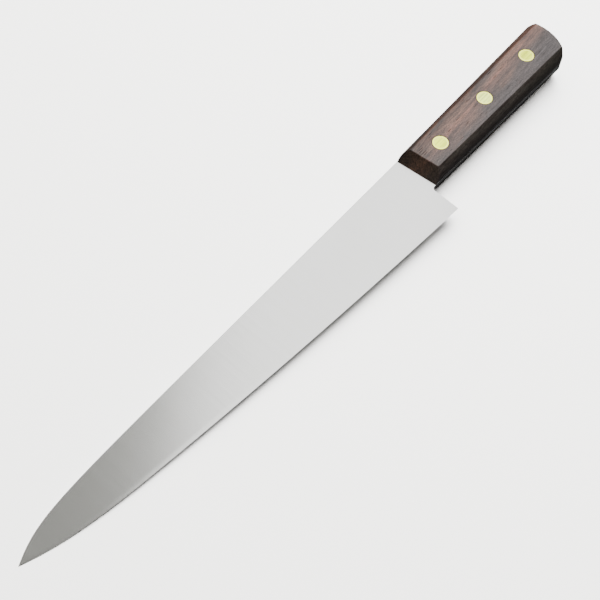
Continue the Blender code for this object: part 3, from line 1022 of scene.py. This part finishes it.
@dataclass
class Blade(KnifePart):
    """The blade and its full tang, one piece of steel."""

    finish = GroundSteel("ground steel", roughness=0.218, metallic=1.0)
    slot = "steel"
    lines: HandleLines
    length: float = 0.2400
    heel_height: float = 0.03715
    heel_lean: float = math.radians(0.9)
    neck: float = 0.00225
    choil_radius: float = 0.0018
    choil_steps: int = 10
    heel_angle: float = math.radians(3.9)
    belly_angle: float = math.radians(7.1)
    tip_angle: float = math.radians(22.5)
    belly_length: float = 0.0595
    belly_height: float = 0.02135
    spine_rise: float = math.radians(0.33)
    drop_length: float = 0.0840
    drop_angle: float = math.radians(27.0)
    drop_pull: Point = (0.72, 0.20)
    edge_pull: Point = (0.33, 0.33)
    tip_drop: float = 0.00845
    drop_thickness: float = 0.0016
    tip_thickness: float = 0.0006
    point_thickness: float = 0.0001
    point_wedge: float = math.radians(3.5)
    shoulder: float = 0.0002
    bevel_height: float = 0.0009
    bevel_share: float = 0.25
    spine_ease: float = 0.0002
    ease_share: float = 0.4
    ease_steps: int = 4
    plunge: float = 0.0400
    plunge_ease: float = 1.5
    proud: float = 0.00006
    curve_points: int = 900
    point_sections: int = 48
    point_crowding: float = 1.7
    middle_sections: int = 36
    heel_sections: int = 12
    tang_rows: int = 5
    heel_rows: int = 6
    crease_angle: float = math.radians(9.0)
    spine_points: list[Vector] = field(default_factory=list, init=False)
    edge_points: list[Vector] = field(default_factory=list, init=False)
    tang_share: float = field(default=0.0, init=False)

    @property
    def heel_x(self) -> float:
        """Where the heel is."""
        return self.lines.front_x - self.neck

    @property
    def tip_x(self) -> float:
        """Where the tip is."""
        return self.heel_x - self.length

    @property
    def belly_x(self) -> float:
        """Where the edge starts to curve up to the tip."""
        return self.tip_x + self.belly_length

    @property
    def drop_x(self) -> float:
        """Where the spine starts to drop to the tip."""
        return self.tip_x + self.drop_length

    def straight_spine(self, x: float, down: float = 0.0) -> Vector:
        """A point at x, some way down from the spine's straight part, carried on to the tip."""
        rise = (self.lines.front_x - x) * math.tan(self.spine_rise)
        return Vector((x, self.lines.spine_front + rise - down))

    def curve(self, ends: tuple[Vector, Vector], angles: Point, pull: Point) -> list[Vector]:
        """Draw a curve that runs towards the tip.

        Args:
            ends: Where it starts and ends.
            angles: Its angles there, upward from -X.
            pull: How far it keeps each of them, over its length.

        Returns:
            Its points.
        """
        reach = (ends[1] - ends[0]).length
        ways = [Vector((-math.cos(angle), math.sin(angle))) for angle in angles]
        start_handle = ends[0] + pull[0] * reach * ways[0]
        end_handle = ends[1] - pull[1] * reach * ways[1]
        return interpolate_bezier(ends[0], start_handle, end_handle, ends[1], self.curve_points)

    def draw_outline(self) -> None:
        """Draw the spine and the edge up to the tip, and find the tang's lower line on the heel."""
        tip = self.straight_spine(self.tip_x, self.tip_drop)
        heel = self.straight_spine(self.heel_x, self.heel_height)
        belly = self.straight_spine(self.belly_x, self.belly_height)
        drop = self.straight_spine(self.drop_x)
        self.spine_points = [Vector((self.lines.front_x, self.lines.spine_front))]
        self.spine_points += self.curve((drop, tip), (self.spine_rise, -self.drop_angle), self.drop_pull)
        to_belly, to_tip = (self.heel_angle, self.belly_angle), (self.belly_angle, self.tip_angle)
        self.edge_points = self.curve((heel, belly), to_belly, self.edge_pull)
        self.edge_points += self.curve((belly, tip), to_tip, self.edge_pull)[1:]
        top = self.height_at(self.spine_points, self.heel_x) - self.spine_ease
        shoulder = self.height_at(self.edge_points, self.heel_x) + self.bevel_height
        self.tang_share = (top - self.lines.belly(self.heel_x)) / (top - shoulder)

    @staticmethod
    def height_at(points: list[Vector], x: float) -> float:
        """Read an outline's height.

        Args:
            points: The outline, which runs towards -X.
            x: Where to read it.

        Returns:
            Its Y at x.
        """
        for near, far in zip(points, points[1:]):
            if far.x <= x <= near.x and far.x < near.x:
                return lerp(near.y, far.y, (near.x - x) / (near.x - far.x))
        return points[0].y if x > points[0].x else points[-1].y

    def stations(self) -> list[float]:
        """Choose where the sections go: close together at the point and by the heel.

        Returns:
            Their places, from the point to the heel.
        """
        plunge_x = self.heel_x - self.plunge
        crowded = [share**self.point_crowding for share in shares(self.point_sections)[1:]]
        found = [lerp(self.tip_x, self.belly_x, share) for share in crowded]
        found += [lerp(self.belly_x, plunge_x, share) for share in shares(self.middle_sections)[1:]]
        return found + [lerp(plunge_x, self.heel_x, share) for share in shares(self.heel_sections)[1:]]

    def top_half(self, x: float, height: float) -> float:
        """Work out half the steel's thickness at the spine.

        Args:
            x: The section's place.
            height: The blade's height there, which limits it near the point.

        Returns:
            Half the thickness.
        """
        full = 2 * self.datum.half_steel
        if x > self.drop_x:
            share = (x - self.drop_x) / (self.heel_x - self.drop_x)
            taper = lerp(self.drop_thickness, full, share) / 2
        else:
            share = (x - self.tip_x) / self.drop_length
            taper = lerp(self.tip_thickness, self.drop_thickness, share) / 2
        return min(taper, self.point_thickness / 2 + height * math.tan(self.point_wedge))

    def face_half(self, x: float, top_half: float, share: float) -> float:
        """Work out half the thickness of the ground face.

        Args:
            x: The section's place.
            top_half: Half the thickness at the spine.
            share: How far down the face the row is.

        Returns:
            Half the thickness, which grows towards the tang's along the last stretch to the heel.
        """
        edge_half = min(self.shoulder / 2, top_half)
        ground = lerp(top_half, edge_half, share)
        unground = self.datum.half_steel
        if share > self.tang_share:
            below = (share - self.tang_share) / (1 - self.tang_share)
            unground = lerp(unground, edge_half, below**self.plunge_ease)
        return lerp(ground, unground, smooth_step(1 - (self.heel_x - x) / self.plunge))

    def section(self, x: float, rows: list[float]) -> list[Vector]:
        """Draw one cross-section: down the left side to the edge, and up the right side.

        Args:
            x: The section's place.
            rows: How far down the face each row is.

        Returns:
            The ring's points.
        """
        top, bottom = self.height_at(self.spine_points, x), self.height_at(self.edge_points, x)
        half = self.top_half(x, top - bottom)
        ease = min(self.spine_ease, self.ease_share * half)
        shoulder = bottom + min(self.bevel_height, self.bevel_share * (top - bottom))
        rounding = arc(Vector((half - ease, top - ease)), ease, math.pi / 2, 0.0, self.ease_steps)
        left = [(point.y, point.x) for point in rounding[:-1]]
        left += [(lerp(top - ease, shoulder, row), self.face_half(x, half, row)) for row in rows]
        right = [(y, -z) for y, z in reversed(left)]
        return [Vector((x, y, z)) for y, z in left + [(bottom, 0.0)] + right]

    def close_point(self, bm: Mesh, ring: Verts) -> None:
        """Draw the skin together at the tip.

        Args:
            bm: The blade's mesh.
            ring: The first section's vertices.
        """
        tip = bm.verts.new((self.tip_x, self.edge_points[-1].y, 0.0))
        for near, far in zip(ring, ring[1:] + ring[:1]):
            bm.faces.new((near, far, tip))

    def draw_tang(self, bm: Mesh, end: Verts) -> None:
        """Lean the heel, draw its upper part out into the tang and round the choil under it.

        Args:
            bm: The blade's mesh.
            end: The last section's vertices.
        """
        foot = self.edge_points[0].y
        for vert in end:
            vert.co.x += (vert.co.y - foot) * math.tan(self.heel_lean)
        last, row = len(end) - 1, self.tang_rows + self.ease_steps
        bm.faces.new(end[row : last - row + 1])
        tang_end = bm.faces.new(end[: row + 1] + end[last - row :])
        choil = bm.edges.get((end[row], end[last - row]))
        top, bottom = end[0].co.y, end[row].co.y
        for x in (self.lines.front_x + self.neck, self.datum.butt_x + self.lines.overshoot):
            tang_end = bmesh.ops.extrude_discrete_faces(bm, faces=[tang_end])["faces"][0]
            for vert in tang_end.verts:
                share = (vert.co.y - bottom) / (top - bottom)
                proud = self.proud * (1 - self.lines.share(x))
                vert.co = (x, lerp(self.lines.belly(x) - proud, self.lines.spine(x), share), vert.co.z)
            top, bottom = self.lines.spine(x), self.lines.belly(x)
        bmesh.ops.bevel(bm, geom=[choil], affect="EDGES", offset=self.choil_radius,
                        segments=self.choil_steps, profile=0.5, material=-1)

    def build(self, cutters: list[Object]) -> list[Object]:
        """Loft the blade, draw out the tang, cut the tang to the handle and dress it all.

        Args:
            cutters: The butt's and the rivets' cutters.

        Returns:
            The piece of steel, in a list of its own.
        """
        self.draw_outline()
        rows = [self.tang_share * share for share in shares(self.tang_rows)]
        rows += [lerp(self.tang_share, 1.0, share) for share in shares(self.heel_rows)[1:]]
        bm = bmesh.new()
        loops = loft(bm, [self.section(x, rows) for x in self.stations()])
        self.close_point(bm, loops[0])
        self.draw_tang(bm, loops[-1])
        bmesh.ops.recalc_face_normals(bm, faces=bm.faces)
        piece = make_object("blade_steel", bm)
        carve(piece, cutters)
        shade(piece, self.crease_angle)
        return [self.dress(piece, "blade")]


class Side(Enum):
    """Which side of the steel a scale lies on."""

    LEFT = 1
    RIGHT = -1


@dataclass
class Scale(KnifePart):
    """One wooden side of the handle: a flat, facets that round into the sides, and a sloped front."""

    finish = Rosewood("oiled rosewood", roughness=0.46, specular=0.35)
    slot = "rosewood"
    lines: HandleLines
    side: Side
    spine_shoulder: Point = (0.0031, 0.0042)
    belly_shoulder: Point = (0.0031, 0.0035)
    facet_angle: float = math.radians(45.0)
    facet_pull: Point = (0.85, 1.15)
    pull_limit: float = 0.9
    facet_points: int = 28
    slope_run: float = 0.0049
    skew: float = math.radians(3.0)
    glue_line: float = 0.00002
    spine_arris: float = 0.0010
    belly_arris: float = 0.0003
    arris_points: int = 8
    front_arris: float = 0.0002
    front_steps: int = 3
    spans: int = 12
    crease_angle: float = math.radians(32.0)

    def facet(self, width: float, depth: float, arris: float) -> list[Point]:
        """Draw a facet from the flat's edge outwards and down.

        Args:
            width: How far it goes outwards.
            depth: How far it goes down to the steel.
            arris: How far the edge at the flat is softened.

        Returns:
            (out, down) points.
        """
        drop = width * math.tan(self.facet_angle)
        start = Vector((0.0, 0.0))
        lean = self.facet_pull[0] * Vector((width, drop))
        turn = Vector((width, min(self.facet_pull[1] * drop, self.pull_limit * depth)))
        curve = interpolate_bezier(start, lean, turn, Vector((width, depth)), self.facet_points)
        kept = [point for point in curve if point.length > arris]
        soft = interpolate_bezier(Vector((-arris, 0.0)), start, start, kept[0], self.arris_points)
        return [(point.x, point.y) for point in soft + kept[1:]]

    def section(self, x: float) -> list[Vector]:
        """Draw the left scale's cross-section: over the spine side, the flat and the belly side.

        Args:
            x: The section's place.

        Returns:
            The ring's points.
        """
        share = self.lines.share(x)
        top = self.datum.half_handle
        depth = top - self.datum.half_steel - self.glue_line
        spine_width, belly_width = lerp(*self.spine_shoulder, share), lerp(*self.belly_shoulder, share)
        flat_spine, flat_belly = self.lines.spine(x) - spine_width, self.lines.belly(x) + belly_width
        spine_facet = self.facet(spine_width, depth, self.spine_arris)
        belly_facet = self.facet(belly_width, depth, self.belly_arris)
        points = [(flat_spine + out, top - down) for out, down in reversed(spine_facet)]
        points += [(flat_belly - out, top - down) for out, down in belly_facet]
        return [Vector((x, y, z)) for y, z in points]

    def slope_front(self, bm: Mesh) -> None:
        """Slope the front down from the flat to the steel, a little askew to the rivet line.

        Args:
            bm: The left scale's mesh, which reaches past its front.
        """
        foot = Vector((self.lines.front_x, 0.0, self.datum.half_steel))
        head = Vector((self.lines.front_x + self.slope_run, 0.0, self.datum.half_handle))
        across = Vector((-math.sin(self.skew), math.cos(self.skew), 0.0))
        bmesh.ops.bisect_plane(bm, geom=bm.verts[:] + bm.edges[:] + bm.faces[:], plane_co=foot,
                               plane_no=across.cross(head - foot).normalized(), clear_inner=True)
        rim = [edge for edge in bm.edges if edge.is_boundary]
        bmesh.ops.holes_fill(bm, edges=rim)
        bmesh.ops.bevel(bm, geom=rim, affect="EDGES", offset=self.front_arris,
                        segments=self.front_steps, profile=0.5, material=-1)

    def build(self, cutters: list[Object]) -> list[Object]:
        """Loft the scale, slope its front, cut its butt and its rivet seats, and dress it.

        Args:
            cutters: The butt's and the rivets' cutters.

        Returns:
            The scale, in a list of its own. Its mesh tells how each face is turned.
        """
        start = self.lines.front_x - 2 * self.lines.overshoot
        end = self.datum.butt_x + self.lines.overshoot
        bm = bmesh.new()
        sections = [self.section(lerp(start, end, share)) for share in shares(self.spans)]
        loft(bm, sections, capped=True)
        self.slope_front(bm)
        if self.side is Side.RIGHT:
            bmesh.ops.scale(bm, vec=(1, 1, -1), verts=bm.verts)
        bmesh.ops.recalc_face_normals(bm, faces=bm.faces)
        node = f"{self.side.name.lower()}_scale"
        piece = make_object(f"{node}_wood", bm)
        carve(piece, cutters)
        # How each face is turned, for the painted shade and shading on the facets and for the end grain's
        # colour
        normals = [face.normal.copy() for face in piece.data.polygons]
        ends, turns = [abs(normal.x) for normal in normals], [normal.y for normal in normals]
        for name, values in (("end_grain", ends), ("turn", turns)):
            piece.data.attributes.new(name, "FLOAT", "FACE").data.foreach_set("value", values)
        shade(piece, self.crease_angle)
        return [self.dress(piece, node)]


class Half(Enum):
    """Which half of a cutler's rivet a piece is."""

    SOCKET = "socket"
    PIN = "pin"


@dataclass
class Rivets(KnifePart):
    """Cutler's rivets: a half with a drilled shank on the left, and a half with a pin on the right."""

    finish = GroundBrass("ground brass", roughness=0.30, metallic=1.0)
    slot = "brass"
    head_diameter: float = 0.0080
    head_play: float = 0.00010
    head_thickness: float = 0.0022
    shank_diameter: float = 0.0050
    pin_diameter: float = 0.0030
    seat_gap: float = 0.00008
    fit: float = 0.0003
    end_gap: float = 0.0004
    chamfer: float = 0.0003
    rim_ease: float = 0.00010
    rim_steps: int = 4
    crown: float = 0.00002
    crown_rings: tuple[float, ...] = (0.9, 0.6, 0.3)
    overshoot: float = 0.0040
    segments: int = 96
    crease_angle: float = math.radians(40.0)
    tones: dict[str, float] = field(default_factory=lambda: {"front": 0.12, "middle": 1.0, "rear": 0.0})

    def head_profile(self) -> list[Point]:
        """Draw the head's face from its rim to its centre, with an eased rim and hardly any crown.

        Returns:
            (radius, height) points.
        """
        head, top = self.head_diameter / 2 - self.head_play, self.datum.half_handle
        face = head - self.rim_ease
        centre = Vector((face, top - self.crown - self.rim_ease))
        rim = arc(centre, self.rim_ease, 0.0, math.pi / 2, self.rim_steps)
        points = [(point.x, point.y) for point in rim]
        rings = [share * face for share in self.crown_rings]
        points += [(radius, top - self.crown * (radius / head) ** 2) for radius in rings]
        return points + [(0.0, top)]

    def profile(self, half: Half) -> list[Point]:
        """Draw a half's profile, with its head up.

        Args:
            half: Which half.

        Returns:
            (radius, height) points, from the axis and back to it.
        """
        head, shank = self.head_diameter / 2 - self.head_play, self.shank_diameter / 2
        pin, under = self.pin_diameter / 2, self.datum.half_handle - self.head_thickness
        bore = pin + self.fit
        if half is Half.SOCKET:
            end = self.end_gap - under
            inner = [(0.0, under), (bore, under - bore), (bore, end), (shank - self.chamfer, end)]
            inner += [(shank, end + self.chamfer), (shank, under)]
        else:
            end = -(under - bore - self.end_gap)
            inner = [(0.0, end), (pin - self.chamfer, end), (pin, end + self.chamfer), (pin, under)]
        return inner + [(head, under)] + self.head_profile()

    def turn(self, name: str, half: Half) -> Object:
        """Turn one half of a rivet.

        Args:
            name: Which rivet, by its place.
            half: Which half.

        Returns:
            The half, whose mesh tells how far out each point is, and the rivet's tone.
        """
        bm = revolve(self.profile(half), self.segments)
        reach, tone = (bm.verts.layers.float.new(layer) for layer in ("reach", "tone"))
        for vert in bm.verts:
            vert[reach] = vert.co.xy.length / (self.head_diameter / 2)
            vert[tone] = self.tones[name]
        if half is Half.PIN:
            over = Matrix.Rotation(math.pi, 3, "X")
            bmesh.ops.rotate(bm, verts=bm.verts, cent=(0, 0, 0), matrix=over)
        bmesh.ops.translate(bm, verts=bm.verts, vec=(self.datum.rivet_places[name], 0, 0))
        piece = make_object(f"{name}_rivet_{half.value}_brass", bm)
        shade(piece, self.crease_angle)
        return piece

    def build(self) -> list[Object]:
        """Turn and dress both halves of every rivet."""
        return [self.dress(self.turn(name, half), f"{name}_rivet_{half.value}")
                for name in self.datum.rivet_places for half in Half]

    def cutter(self) -> Object:
        """Make the seats: for each rivet a through hole, with room for a head at both ends.

        Returns:
            The seats, which are taken away from the steel and the scales.
        """
        head, shank = self.head_diameter / 2 + self.seat_gap, self.shank_diameter / 2 + self.fit
        seat = self.datum.half_handle - self.head_thickness - self.fit
        top = self.datum.half_handle + self.overshoot
        profile = [(0.0, -top), (head, -top), (head, -seat), (shank, -seat)]
        profile += [(radius, -height) for radius, height in reversed(profile)]
        seats = bmesh.new()
        for x in self.datum.rivet_places.values():
            bm = revolve(profile, self.segments)
            bmesh.ops.translate(bm, verts=bm.verts, vec=(x, 0, 0))
            mesh = bpy.data.meshes.new("seat")
            bm.to_mesh(mesh)
            bm.free()
            seats.from_mesh(mesh)
            bpy.data.meshes.remove(mesh)
        return make_object("rivet_seat_cutter", seats)


# The studio


@dataclass(frozen=True)
class PaleFloor(Finish):
    """A plain pale floor, lit up for the camera, which throws little light back at the knife."""

    color: Color = (0.80, 0.795, 0.785)
    lift: float = 9.0
    glossy_share: float = 0.17
    bounce_share: float = 0.12

    def pattern(self, graph: Graph, vector: Socket) -> dict[str, object]:
        """Give the camera, the reflections and the bounced light a floor each.

        Args:
            graph: The material's graph.
            vector: The floor's object coordinates, which it doesn't need.

        Returns:
            What goes into the shader's sockets, by name.
        """
        path = graph.add("ShaderNodeLightPath").outputs
        seen, mirrored, bounced = (tuple(channel * share for channel in self.color)
                                   for share in (self.lift, self.glossy_share, self.bounce_share))
        hidden = graph.blend(path["Is Glossy Ray"], bounced, mirrored)
        return {"Base Color": graph.blend(path["Is Camera Ray"], hidden, seen)}


def add_light(name: str, width: float, depth: float, radiance: float, place: Matrix) -> Object:
    """Add an even, rectangular light.

    Args:
        name: The light's name.
        width: Its side along its own X.
        depth: Its side along its own Y.
        radiance: How bright it looks.
        place: Where it goes; it shines along its own -Z.

    Returns:
        The light.
    """
    data = bpy.data.lights.new(name, "AREA")
    data.shape = "RECTANGLE"
    data.size, data.size_y = width, depth
    data.energy = math.pi * width * depth * radiance
    lamp = bpy.data.objects.new(name, data)
    lamp.matrix_world = place
    bpy.context.collection.objects.link(lamp)
    return lamp


@dataclass(frozen=True)
class SoftBox:
    """A large, even, level light that hangs over the knife.

    Its corners are given along its own sides, about the frame's origin.
    """

    name: str
    low: Point
    high: Point
    height: float
    radiance: float
    turn: float

    def hang(self) -> None:
        """Hang the light between its corners."""
        width, depth = self.high[0] - self.low[0], self.high[1] - self.low[1]
        centre = Vector((self.low[0] + width / 2, self.low[1] + depth / 2, self.height))
        place = Matrix.Rotation(self.turn, 4, "Z") @ Matrix.Translation(centre)
        add_light(self.name, width, depth, self.radiance, place)


@dataclass(frozen=True)
class WallLight:
    """An upright, even light that stands off the knife, for the metal alone to mirror."""

    azimuth: float
    head: float
    foot: float = 0.05
    distance: float = 2.0
    width: float = 2.2
    radiance: float = 0.8

    def stand(self, metal: bpy.types.Collection) -> None:
        """Stand the light up, facing the knife.

        Args:
            metal: The pieces that it lights.
        """
        height = self.head - self.foot
        place = Matrix.Translation((self.distance, 0.0, self.foot + height / 2))
        place = Matrix.Rotation(self.azimuth, 4, "Z") @ place @ Matrix.Rotation(math.pi / 2, 4, "Y")
        lamp = add_light("wall light", height, self.width, self.radiance, place)
        lamp.visible_camera = False
        lamp.light_linking.receiver_collection = metal


@dataclass
class Studio:
    """The floor that the knife lies on, the lights, the dome and the camera."""

    datum: Datum
    metal: bpy.types.Collection
    floor_finish: Finish = PaleFloor("pale floor", roughness=0.9, specular=0.1)
    floor_size: float = 30.0
    rest_x: float = -0.0120
    camera_place: Vector = Vector((-0.25204, -0.13062, 0.36234))
    camera_elevation: float = math.radians(61.95)
    camera_azimuth: float = math.radians(-49.27)
    camera_reach: float = 0.01
    focal_pixels: float = 965.0
    frame_pixels: float = 600.0
    sensor: float = 36.0
    key: SoftBox = SoftBox("key soft box", low=(-0.154, 0.10), high=(0.80, 1.70), height=1.20,
                           radiance=3.20, turn=camera_azimuth)
    wall_heads: tuple[float, ...] = (1.0, 1.0, 2.4, 2.4, 2.4, 2.0)
    first_wall: float = math.radians(30.0)
    glow_way: Vector = Vector((0.05, 0.55, 0.835))
    glow: Band = (0.60, 0.95, 0.02, 0.53)
    dome_blue: float = 0.93
    backdrop: Color = (1.36, 1.355, 1.31)

    def lay_floor(self) -> None:
        """Lay the floor under the tip and the front of the handle's lower flat."""
        tip = self.datum.origin + Vector((self.datum.tip_x, 0.0, 0.0))
        front = self.datum.origin + Vector((self.rest_x, 0.0, -self.datum.half_handle))
        slope = math.atan2(front.z - tip.z, front.x - tip.x)
        bm = bmesh.new()
        bmesh.ops.create_grid(bm, x_segments=1, y_segments=1, size=self.floor_size / 2)
        floor = make_object("floor", bm)
        floor.data.transform(Matrix.Translation(tip) @ Matrix.Rotation(-slope, 4, "Y"))
        floor.data.materials.append(self.floor_finish.material())

    def raise_dome(self) -> None:
        """Close the studio with a dim dome that glows on one side and that the camera sees as pale."""
        world = bpy.data.worlds.new("dome")
        world.use_nodes = True
        graph = Graph(world.node_tree)
        way = graph.add("ShaderNodeTexCoord").outputs["Generated"]
        inputs = {0: way, 1: self.glow_way.normalized()}
        towards = graph.add("ShaderNodeVectorMath", inputs, operation="DOT_PRODUCT").outputs["Value"]
        glow = graph.ranged(towards, *self.glow)
        blue = graph.product(glow, self.dome_blue)
        light = graph.add("ShaderNodeCombineColor", {0: glow, 1: glow, 2: blue}).outputs[0]
        seen = graph.add("ShaderNodeLightPath").outputs["Is Camera Ray"]
        sky = graph.add("ShaderNodeBackground", {"Color": graph.blend(seen, light, self.backdrop)})
        graph.add("ShaderNodeOutputWorld", {"Surface": sky.outputs[0]})
        bpy.context.scene.world = world

    def set_camera(self) -> None:
        """Set the camera where the photograph was taken from."""
        data = bpy.data.cameras.new("camera")
        data.sensor_width = self.sensor
        data.lens = self.focal_pixels / self.frame_pixels * self.sensor
        data.clip_start = self.camera_reach
        camera = bpy.data.objects.new("camera", data)
        top = Vector((0.0, 0.0, self.datum.half_handle))
        place = self.datum.origin + top + self.camera_place
        turn = Matrix.Rotation(self.camera_azimuth, 4, "Z")
        tilt = Matrix.Rotation(math.pi / 2 - self.camera_elevation, 4, "X")
        camera.matrix_world = Matrix.Translation(place) @ turn @ tilt
        bpy.context.collection.objects.link(camera)
        bpy.context.scene.camera = camera

    def build(self) -> None:
        """Set the studio up."""
        self.lay_floor()
        self.key.hang()
        for i, head in enumerate(self.wall_heads):
            WallLight(self.first_wall + i * math.tau / len(self.wall_heads), head).stand(self.metal)
        self.raise_dome()
        self.set_camera()


def main() -> None:
    """Build the knife's sub-assemblies in order and report each piece, then set up the studio."""
    logging.basicConfig(level=logging.INFO, format="%(name)s: %(message)s")
    datum = Datum.from_frame()
    metal = bpy.data.collections.new("metal")
    lines = HandleLines(datum)
    rivets = Rivets(datum, metal)
    cutters = [lines.butt_cutter(), rivets.cutter()]
    pieces = Blade(datum, metal, lines).build(cutters)
    for side in Side:
        pieces += Scale(datum, metal, lines, side).build(cutters)
    pieces += rivets.build()
    for cutter in cutters:
        bpy.data.objects.remove(cutter)
    for piece in pieces:
        LOG.info("%s: %d faces", piece.name, len(piece.data.polygons))
    Studio(datum, metal).build()


if __name__ == "__main__":
    main()
